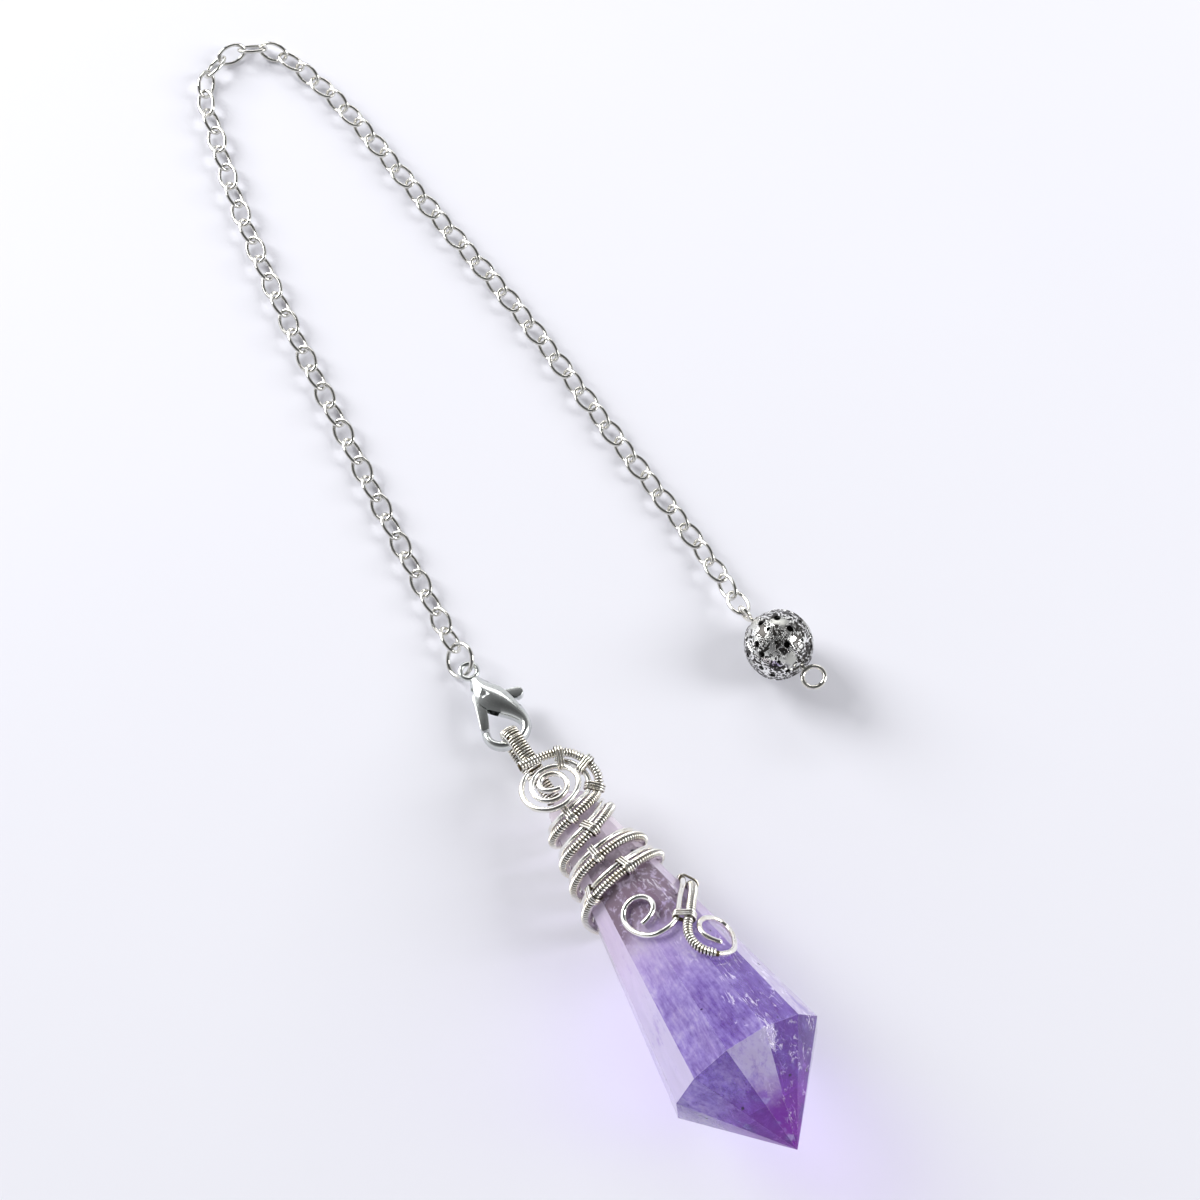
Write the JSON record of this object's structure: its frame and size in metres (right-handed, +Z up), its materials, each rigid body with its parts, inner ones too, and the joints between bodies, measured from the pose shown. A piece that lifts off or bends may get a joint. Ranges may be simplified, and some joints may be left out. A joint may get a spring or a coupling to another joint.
{
  "type": "pendulum pendant",
  "caption": "Faceted crystal pendulum: a tapering stone held by wire wraps, with a bail, lever clasp, oval-link chain and pierced bead",
  "frame": {"origin": "centre of the outline on the surface that the pendant lies on", "axes": "+Z up from the surface, +X to the picture's right, +Y to the picture's top; the pendant lies as in the picture"},
  "size_m": [0.0929, 0.1737, 0.0219],
  "materials": {
    "amethyst": "polished faceted crystal, pale lavender to deep violet",
    "silver_wire": "polished silver-plated wire",
    "wound_wire": "fine wire wound closely round a core",
    "polished_clasp": "mirror-polished plating",
    "bright_silver": "bright silver plating",
    "old_silver": "darkened silver plating, bright on the raised ribs"
  },
  "bodies": {
    "pendulum": {"stone": "amethyst", "bail": "wound_wire", "coil_strand": "wound_wire", "plain_strand": "silver_wire", "rosette": "silver_wire", "clasp_body": "polished_clasp", "clasp_pin": "polished_clasp", "jump_ring": "bright_silver", "chain": "bright_silver", "eye_pin": "bright_silver"},
    "clasp_lever": {"clasp_lever": "polished_clasp"},
    "bead": {"bead": "old_silver"}
  },
  "joints": [
    {"name": "lever_pivot", "type": "hinge", "parent": "pendulum", "child": "clasp_lever", "pos_m": [-0.0015, -0.02068, 0.00317], "axis": [-0.0544, 0.1166, 0.9917], "range_deg": [0, 16], "stiffness_Nm_per_rad": 0.0075, "springref_deg": -11.46},
    {"name": "bead_turn", "type": "hinge", "parent": "pendulum", "child": "bead", "pos_m": [0.03988, -0.01353, 0.00503], "axis": [0.6706, -0.7318, 0.1219], "continuous": true}
  ]
}
